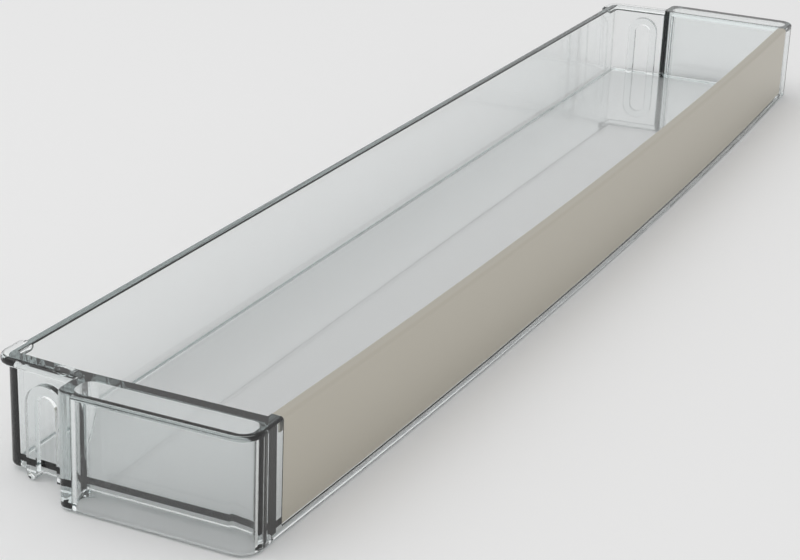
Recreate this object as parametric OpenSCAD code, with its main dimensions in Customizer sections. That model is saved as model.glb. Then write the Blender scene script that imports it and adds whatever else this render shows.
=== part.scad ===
// Clear moulded door tray with a folded metal strip along its bowed front.
// X runs along the length, the front faces -Y, and Z = 0 is the plane it rests on.
// The modules below put Y = 0 at the outside of the back wall, and the nodes are
// then moved so that the origin is the middle of the footprint.

/* [Overall] */
// Length over the two end skirts
tray_length = 480; // [400:5:560]
// Depth from the back wall's outer face to the front face at its ends
tray_depth = 79; // [70:1:110]
// Height from the resting plane to the top edge
tray_height = 32; // [28:1:60]
// How far the middle of the front stands out past its ends
front_bow = 5; // [2:0.5:10]

/* [Moulding] */
// Thickness of the upright walls
wall_t = 2.8; // [2:0.1:3]
// Thickness of the floor
floor_t = 2; // [1.6:0.1:3]
// Height of the floor's underside above the resting plane
floor_rise = 2.2; // [1.8:0.1:3]
// Height of the lower edges of the back and end walls above the resting plane
wall_rise = 1; // [0.5:0.1:1.5]
// How far the inner faces lean in from the top edge to the bottom
draft = 0.4; // [0.1:0.1:0.6]
// Rounding of the skirt's outer edges
edge_r = 0.9; // [0.4:0.1:1.2]
// Rounding of the walls' top edges
lip_r = 0.5; // [0.2:0.1:0.6]

/* [Ends] */
// Width from the end wall's inner face to the skirt's outer face
end_w = 13.6; // [12:0.2:20]
// Thickness of the flange over the end pocket
flange_t = 2.4; // [2:0.1:3]
// Depth of the narrow part behind the skirts
rear_d = 23.4; // [22:0.2:30]
// How far each end wall closes in towards the back over the narrow part
rear_taper = 1.3; // [0.2:0.1:2]
// Outer radius of the rear corners
rear_r = 3.8; // [3.8:0.1:5]
// Outer radius of the skirt's rear corner
skirt_r = 3.2; // [3.1:0.1:4]
// Outer radius of the skirt's front corner
front_r = 6; // [5:0.5:8]

/* [Rim] */
// How far the rim stands out from the wall
rim_out = 2.2; // [1.6:0.1:3]
// Height of the rim
rim_h = 2.6; // [2:0.1:3]
// Run of the rim along the back wall, from the end of the corner's arc
rim_run = 4.9; // [2:0.1:12]

/* [Lug slots] */
// Width of the slot between the legs of the arch
slot_w = 6.6; // [5:0.2:7]
// Width of each leg
leg_w = 3; // [2:0.1:3.4]
// How far the arch stands out from the end wall
arch_out = 2; // [1.4:0.1:3]
// Distance from the back face to the middle of the slot
slot_back = 14.3; // [13:0.1:14.6]
// Drop from the tray's top edge to the top of the arch
arch_drop = 5; // [4:0.2:7]

/* [Strip] */
// Thickness of the strip's sheet
strip_t = 0.55; // [0.4:0.05:0.8]
// Height of the clear lip that the strip stands on
lip_h = 3.4; // [2.6:0.1:5]
// Depth of the strip's inner leg below the top edge
return_d = 4.5; // [3:0.5:8]
// Distance from each end wall's inner face to the end of the strip
strip_inset = 1.2; // [1:0.1:4]
// Gap between the strip and the moulding at its sides and ends
strip_gap = 0.05; // [0.02:0.01:0.15]

/* [Hidden] */
$fn = 64;

// Fragments of a full turn for the long bow of the front
bow_fn = 2160;

half_l = tray_length / 2;
// Inner and outer faces of an end wall, measured from the middle of the tray
inner_x = half_l - end_w;
outer_x = inner_x + wall_t;

// The bow starts on each side over the end wall, and is one arc
bow_half = inner_x + wall_t / 4;
bow_r = (pow(bow_half, 2) + pow(front_bow, 2)) / (2 * front_bow);
bow_y = bow_r - tray_depth - front_bow;

// The front wall is set back to take the thickness of the strip
recess = strip_t + strip_gap;
seat_z = tray_height - strip_t;
strip_half = inner_x - strip_inset;
strip_a = asin(strip_half / bow_r);
recess_a = asin((strip_half + strip_gap) / bow_r);
// The bowed wall runs on a little way inside the straight front of each end
wall_a = asin((bow_half + wall_t / 2) / bow_r);

// Straight lead out of the rear corner, half of it before the tapered run's face meets it
corner_lead = wall_t / 2;
corner_x = outer_x - rear_taper - rear_r;
// The end walls turn in by this angle over the narrow rear part
taper_d = rear_d - rear_r - corner_lead / 2;
taper_a = atan(rear_taper / taper_d);
taper_run = taper_d / cos(taper_a) + corner_lead / 4;

// Arch over the lug slot
slot_r = slot_w / 2;
arch_r = slot_r + leg_w;
arch_z = tray_height - arch_drop - arch_r;

// Outer face of the back wall, seen from the middle of the footprint
back_y = (tray_depth + front_bow - rim_out) / 2;

clear_col = [0.84, 0.9, 0.9, 0.35];
strip_col = [0.74, 0.72, 0.67];

// Rectangle with rounded corners, between two opposite corners
module round_rect(x0, y0, x1, y1, r) {
    for (x = [x0 + r, x1 - r], y = [y0 + r, y1 - r])
        translate([x, y]) circle(r = r);
    translate([x0 + r, y0]) square([x1 - x0 - 2 * r, y1 - y0]);
    translate([x0, y0 + r]) square([x1 - x0, y1 - y0 - 2 * r]);
}

// Upright plate with its outer face at x = 0 and both outer edges rounded
module plate_section(t, h, r) {
    translate([r, 0]) square([t - r, h]);
    translate([0, r]) square([t, h - 2 * r]);
    for (z = [r, h - r]) translate([r, z]) circle(r = r);
}

// Section of the back and end walls: the outer face at x = 0, the inner face leaning
module wall_section() {
    top_z = tray_height - lip_r;
    polygon([
        [0, wall_rise + edge_r], [edge_r, wall_rise], [wall_t + draft, wall_rise],
        [wall_t, top_z], [0, top_z]
    ]);
    translate([edge_r, wall_rise + edge_r]) circle(r = edge_r);
    translate([lip_r, wall_rise + edge_r]) square([wall_t - 2 * lip_r, tray_height - wall_rise - edge_r]);
    for (x = [lip_r, wall_t - lip_r]) translate([x, top_z]) circle(r = lip_r);
}

// Half-round rim along the outside of a wall, rooted in the wall's thickness
module rim_section(root) {
    nose_r = rim_h / 2;
    nose_x = rim_out - nose_r;
    translate([-nose_x, tray_height - rim_h]) square([nose_x + root, rim_h]);
    translate([-nose_x, tray_height - nose_r]) circle(r = nose_r);
}

// Puts a section at radius r, its outer face away from the upright axis
module at_radius(r) {
    translate([r, 0]) mirror([1, 0]) children();
}

// Runs a section round a square corner whose axis is Z, its outer face at radius r
// and facing +X at the start, with a straight run before the turn and one after it
module corner_run(r, before, after) {
    rotate([90, 0, 0]) linear_extrude(before) at_radius(r) children();
    rotate_extrude(angle = 90) at_radius(r) children();
    rotate([0, 0, 90]) translate([0, after, 0]) rotate([90, 0, 0])
        linear_extrude(after) at_radius(r) children();
}

// Runs a section along the bow of the front, to the same angle on both sides
module bow_sweep(half_a) {
    translate([0, bow_y, 0]) rotate([0, 0, -90 - half_a])
        rotate_extrude(angle = 2 * half_a, $fn = bow_fn) at_radius(bow_r) children();
}

// Frame of the left rear corner's axis, with the back of the tray towards +X
module rear_corner() {
    translate([-corner_x, -rear_r, 0]) rotate([0, 0, 90]) children();
}

// Frame of the left end wall's tapered run: +Y along the wall, its outer face at x = 0
module taper_frame() {
    translate([-outer_x, -rear_d, 0]) rotate([0, 0, -taper_a]) children();
}

// Runs a section along the left tapered run, a little way into what lies at its ends
module taper_sweep() {
    taper_frame() translate([0, taper_run, 0]) rotate([90, 0, 0])
        linear_extrude(taper_run + wall_t / 2) children();
}

// Left end wall, with its rear corner and half of the back wall
module end_wall() {
    run_d = tray_depth - rear_d - wall_t / 2;
    translate([-outer_x, -rear_d, 0]) rotate([90, 0, 0]) linear_extrude(run_d) wall_section();
    taper_sweep() wall_section();
    rear_corner() corner_run(rear_r, corner_x + wall_t / 2, corner_lead) wall_section();
}

// Half-round rim round the left rear corner, with a rounded end on the back wall
module end_rim() {
    taper_sweep() rim_section(wall_t / 2);
    rear_corner() {
        corner_run(rear_r, rim_run, corner_lead) rim_section(wall_t / 2);
        translate([rear_r, -rim_run, 0]) rotate([0, 0, -90]) rotate_extrude(angle = 90)
            intersection() {
                mirror([1, 0]) rim_section(0);
                square([rim_out, tray_height]);
            }
    }
}

// Floor slab, let into the middle of the walls and following the bow
module tray_floor() {
    mid = wall_t / 2;
    side_x = outer_x - mid;
    rear_x = side_x - rear_taper;
    front_y = -tray_depth - front_bow;
    intersection() {
        translate([0, 0, floor_rise]) linear_extrude(floor_t) polygon([
            [-side_x, front_y], [side_x, front_y], [side_x, -rear_d],
            [rear_x, -mid], [-rear_x, -mid], [-side_x, -rear_d]
        ]);
        translate([0, bow_y, 0]) cylinder(r = bow_r - recess - mid, h = tray_height, $fn = bow_fn);
    }
}

// Bowed front wall: a recessed panel on a lip, between two full margins
module front_wall() {
    bow_sweep(wall_a) translate([recess, 0]) {
        translate([0, lip_h / 2]) square([wall_t, seat_z - lip_h / 2]);
    }
    bow_sweep(wall_a) plate_section(recess + wall_t, lip_h, edge_r);
    difference() {
        bow_sweep(wall_a) plate_section(recess + wall_t, tray_height, edge_r);
        bow_sweep(recess_a) translate([-edge_r, -edge_r])
            square([recess + wall_t + 2 * edge_r, tray_height + 2 * edge_r]);
    }
}

// Outline of the left end up to the end wall, inset from its outer faces by d
module end_plan(d) {
    x0 = -half_l + d;
    y0 = -tray_depth + d;
    y1 = -rear_d - d;
    half_d = (y1 - y0) / 2;
    front_c = front_r - d;
    rear_c = skirt_r - d;
    translate([x0 + front_c, y0 + front_c]) circle(r = front_c);
    translate([x0 + rear_c, y1 - rear_c]) circle(r = rear_c);
    translate([x0 + front_c, y0]) square([-outer_x - x0 - front_c, half_d]);
    translate([x0 + rear_c, y1 - half_d]) square([-outer_x - x0 - rear_c, half_d]);
    translate([x0, y0 + front_c]) square([-outer_x - x0, y1 - y0 - front_c - rear_c]);
}

// Left end: a web, a skirt and a flange round a pocket that is open below
module end_block() {
    mid = wall_t / 2;
    // The skin carries the rounded edges and overlaps the core behind it
    skin_t = mid + wall_t / 4;
    skirt_run = (tray_depth - rear_d - front_r - skirt_r + wall_t) / 2;
    difference() {
        union() {
            translate([-half_l + skirt_r, -rear_d - skirt_r, 0]) rotate([0, 0, 90])
                corner_run(skirt_r, half_l - outer_x + mid - skirt_r, skirt_run)
                    plate_section(skin_t, tray_height, edge_r);
            translate([-half_l + front_r, -tray_depth + front_r, 0]) rotate([0, 0, 180])
                corner_run(front_r, skirt_run, half_l - front_r - bow_half + mid)
                    plate_section(skin_t, tray_height, edge_r);
            linear_extrude(tray_height) end_plan(mid);
            translate([-half_l + front_r, -tray_depth + mid, tray_height - flange_t])
                linear_extrude(flange_t)
                    square([half_l - front_r - inner_x - mid, tray_depth - rear_d - wall_t]);
        }
        translate([0, 0, -edge_r]) linear_extrude(tray_height - flange_t + edge_r)
            round_rect(-half_l + wall_t, -tray_depth + wall_t, -outer_x, -rear_d - wall_t, front_r - wall_t);
    }
}

// Arch on the outside of the left end wall, open below for the lug of the door,
// with a foot under its rear leg
module lug_arch() {
    leg_h = arch_z - wall_rise;
    foot_r = leg_w / 2;
    taper_frame() translate([-arch_out, (rear_d - slot_back) / cos(taper_a), arch_z])
        rotate([90, 0, 90]) linear_extrude(arch_out + wall_t / 2) {
            difference() {
                union() {
                    circle(r = arch_r);
                    translate([-arch_r, -leg_h]) square([2 * arch_r, leg_h]);
                }
                circle(r = slot_r);
                translate([-slot_r, -arch_z]) square([slot_w, arch_z]);
            }
            translate([slot_r + foot_r, foot_r - arch_z]) circle(r = foot_r);
            translate([slot_r, foot_r - arch_z]) square([leg_w, arch_z - foot_r]);
        }
}

module tray_end() {
    end_wall();
    end_rim();
    end_block();
    lug_arch();
}

module tray_body() {
    color(clear_col) translate([0, back_y, 0]) {
        tray_floor();
        front_wall();
        tray_end();
        mirror([1, 0, 0]) tray_end();
    }
}

// Strip folded over the front wall's top edge, standing on the lip
module front_strip() {
    fold_w = wall_t + 2 * recess;
    color(strip_col) translate([0, back_y, 0]) bow_sweep(strip_a) difference() {
        strip_outline(0, fold_w, tray_height, 2 * strip_t);
        strip_outline(strip_t, fold_w - strip_t, seat_z, strip_t);
        translate([strip_t, 0]) square([fold_w, tray_height - return_d]);
    }
}

// Area between x0 and x1, from the lip up to top_z, with both top corners rounded
module strip_outline(x0, x1, top_z, r) {
    translate([x0, lip_h]) square([x1 - x0, top_z - lip_h - r]);
    translate([x0 + r, lip_h]) square([x1 - x0 - 2 * r, top_z - lip_h]);
    for (x = [x0 + r, x1 - r]) translate([x, top_z - r]) circle(r = r);
}

tray_body();
front_strip();
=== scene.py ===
import bpy
import math
from mathutils import Matrix, Vector

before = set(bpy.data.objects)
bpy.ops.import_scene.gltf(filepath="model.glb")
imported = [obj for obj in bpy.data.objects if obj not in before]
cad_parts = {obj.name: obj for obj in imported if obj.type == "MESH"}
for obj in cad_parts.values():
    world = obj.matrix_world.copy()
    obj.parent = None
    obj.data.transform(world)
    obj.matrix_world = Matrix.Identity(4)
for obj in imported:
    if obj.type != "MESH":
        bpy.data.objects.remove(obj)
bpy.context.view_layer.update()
scene = bpy.context.scene
scene.view_settings.view_transform = "Standard"
print("frame loaded:", sorted(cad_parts))


# ---- camera, solved from the edges of the tray in the photograph
cameraSettings = {
    "azimuth": -65.478,   # degrees, 0 looks along +Y
    "elevation": 21.199,
    "roll": 2.427,
    "place": (-0.6072, -0.2412, 0.2356),
    "lens": 90.1,         # mm
    "sensorWidth": 36,    # mm
    "clip": (0.01, 20),
}


def makeCamera(settings):
    a = math.radians(settings["azimuth"])
    e = math.radians(settings["elevation"])
    r = math.radians(settings["roll"])
    back = Vector((math.sin(a) * math.cos(e), -math.cos(a) * math.cos(e), math.sin(e)))
    right = Vector((math.cos(a), math.sin(a), 0))
    up = back.cross(right)
    turnedRight = right * math.cos(r) + up * math.sin(r)
    turnedUp = up * math.cos(r) - right * math.sin(r)
    data = bpy.data.cameras.new("photoCamera")
    data.sensor_width = settings["sensorWidth"]
    data.lens = settings["lens"]
    data.clip_start, data.clip_end = settings["clip"]
    camera = bpy.data.objects.new("photoCamera", data)
    scene.collection.objects.link(camera)
    camera.matrix_world = (Matrix.Translation(Vector(settings["place"]))
                           @ Matrix((turnedRight, turnedUp, back)).transposed().to_4x4())
    scene.camera = camera
    print("camera set at", settings["place"])


makeCamera(cameraSettings)


# ---- node helpers for the materials
def newMaterial(name):
    material = bpy.data.materials.new(name)
    material.use_nodes = True
    tree = material.node_tree
    tree.nodes.clear()
    return material, tree


def addNode(tree, kind, values=None, **settings):
    node = tree.nodes.new(kind)
    for key, value in settings.items():
        setattr(node, key, value)
    for key, value in (values or {}).items():
        node.inputs[key].default_value = value
    return node


def linkNodes(tree, *pairs):
    for source, target in pairs:
        tree.links.new(source, target)


# ---- clear moulding
clearPlastic = {
    "ior": 1.57,
    "roughness": 0.03,
    "absorbColor": (0.42, 0.56, 0.56, 1),
    "absorbDensity": 34.0,   # per metre
    "waviness": 0.02,        # strength of the moulded surface's faint waves
    "waveScale": 30.0,
    "waveDetail": 2.0,
    "waveDepth": 0.001,
}


def makeClearPlastic(look):
    material, tree = newMaterial("clearPlastic")
    output = addNode(tree, "ShaderNodeOutputMaterial")
    shader = addNode(tree, "ShaderNodeBsdfPrincipled", {
        "Base Color": (1, 1, 1, 1), "Roughness": look["roughness"], "IOR": look["ior"],
        "Transmission Weight": 1.0})
    absorb = addNode(tree, "ShaderNodeVolumeAbsorption", {
        "Color": look["absorbColor"], "Density": look["absorbDensity"]})
    place = addNode(tree, "ShaderNodeTexCoord")
    waves = addNode(tree, "ShaderNodeTexNoise", {
        "Scale": look["waveScale"], "Detail": look["waveDetail"]})
    bump = addNode(tree, "ShaderNodeBump", {
        "Strength": look["waviness"], "Distance": look["waveDepth"]})
    linkNodes(tree,
              (place.outputs["Object"], waves.inputs["Vector"]),
              (waves.outputs["Fac"], bump.inputs["Height"]),
              (bump.outputs["Normal"], shader.inputs["Normal"]),
              (shader.outputs["BSDF"], output.inputs["Surface"]),
              (absorb.outputs["Volume"], output.inputs["Volume"]))
    print("material made: clear plastic")
    return material


# ---- satin metal of the strip
stripMetal = {
    "color": (0.56, 0.53, 0.46, 1),
    "roughness": 0.38,
}


def makeStripMetal(look):
    material, tree = newMaterial("stripMetal")
    output = addNode(tree, "ShaderNodeOutputMaterial")
    shader = addNode(tree, "ShaderNodeBsdfPrincipled", {
        "Base Color": look["color"], "Roughness": look["roughness"], "Metallic": 1.0})
    linkNodes(tree, (shader.outputs["BSDF"], output.inputs["Surface"]))
    print("material made: strip metal")
    return material


def setMaterial(thing, material):
    thing.data.materials.clear()
    thing.data.materials.append(material)


setMaterial(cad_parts["tray_body"], makeClearPlastic(clearPlastic))
setMaterial(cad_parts["front_strip"], makeStripMetal(stripMetal))


# ---- pale floor and soft light
studio = {
    "floorSize": 6.0,
    "floorDrop": 0.0004,   # just below the resting plane
    "floorColor": (0.93, 0.93, 0.93, 1),
    "worldStrength": 0.72,
    "keyPower": 6.0,
    "keySize": 1.6,
    "keyPlace": (-0.5, 0.6, 1.6),
}


def makeStudio(look):
    bpy.ops.object.select_all(action="DESELECT")
    bpy.ops.mesh.primitive_plane_add(size=look["floorSize"], location=(0, 0, -look["floorDrop"]))
    floor = bpy.context.object
    floor.name = "floor"
    bpy.ops.object.transform_apply(location=True, rotation=False, scale=False)
    material, tree = newMaterial("floorWhite")
    output = addNode(tree, "ShaderNodeOutputMaterial")
    shader = addNode(tree, "ShaderNodeBsdfPrincipled", {
        "Base Color": look["floorColor"], "Roughness": 1.0, "Specular IOR Level": 0.0})
    linkNodes(tree, (shader.outputs["BSDF"], output.inputs["Surface"]))
    setMaterial(floor, material)

    world = bpy.data.worlds.new("studioWorld")
    scene.world = world
    world.use_nodes = True
    tree = world.node_tree
    tree.nodes.clear()
    output = addNode(tree, "ShaderNodeOutputWorld")
    light = addNode(tree, "ShaderNodeBackground", {
        "Color": (1, 1, 1, 1), "Strength": look["worldStrength"]})
    white = addNode(tree, "ShaderNodeBackground", {"Color": (1, 1, 1, 1), "Strength": 1.0})
    path = addNode(tree, "ShaderNodeLightPath")
    seen = addNode(tree, "ShaderNodeMath", operation="MAXIMUM")
    mix = addNode(tree, "ShaderNodeMixShader")
    linkNodes(tree,
              (path.outputs["Is Camera Ray"], seen.inputs[0]),
              (path.outputs["Is Transmission Ray"], seen.inputs[1]),
              (seen.outputs[0], mix.inputs["Fac"]),
              (light.outputs[0], mix.inputs[1]),
              (white.outputs[0], mix.inputs[2]),
              (mix.outputs[0], output.inputs["Surface"]))

    lamp = bpy.data.lights.new("keyLamp", "AREA")
    lamp.energy = look["keyPower"]
    lamp.size = look["keySize"]
    holder = bpy.data.objects.new("keyLamp", lamp)
    scene.collection.objects.link(holder)
    holder.location = look["keyPlace"]
    holder.rotation_mode = "QUATERNION"
    holder.rotation_quaternion = holder.location.to_track_quat("Z", "Y")
    print("studio lit")


makeStudio(studio)
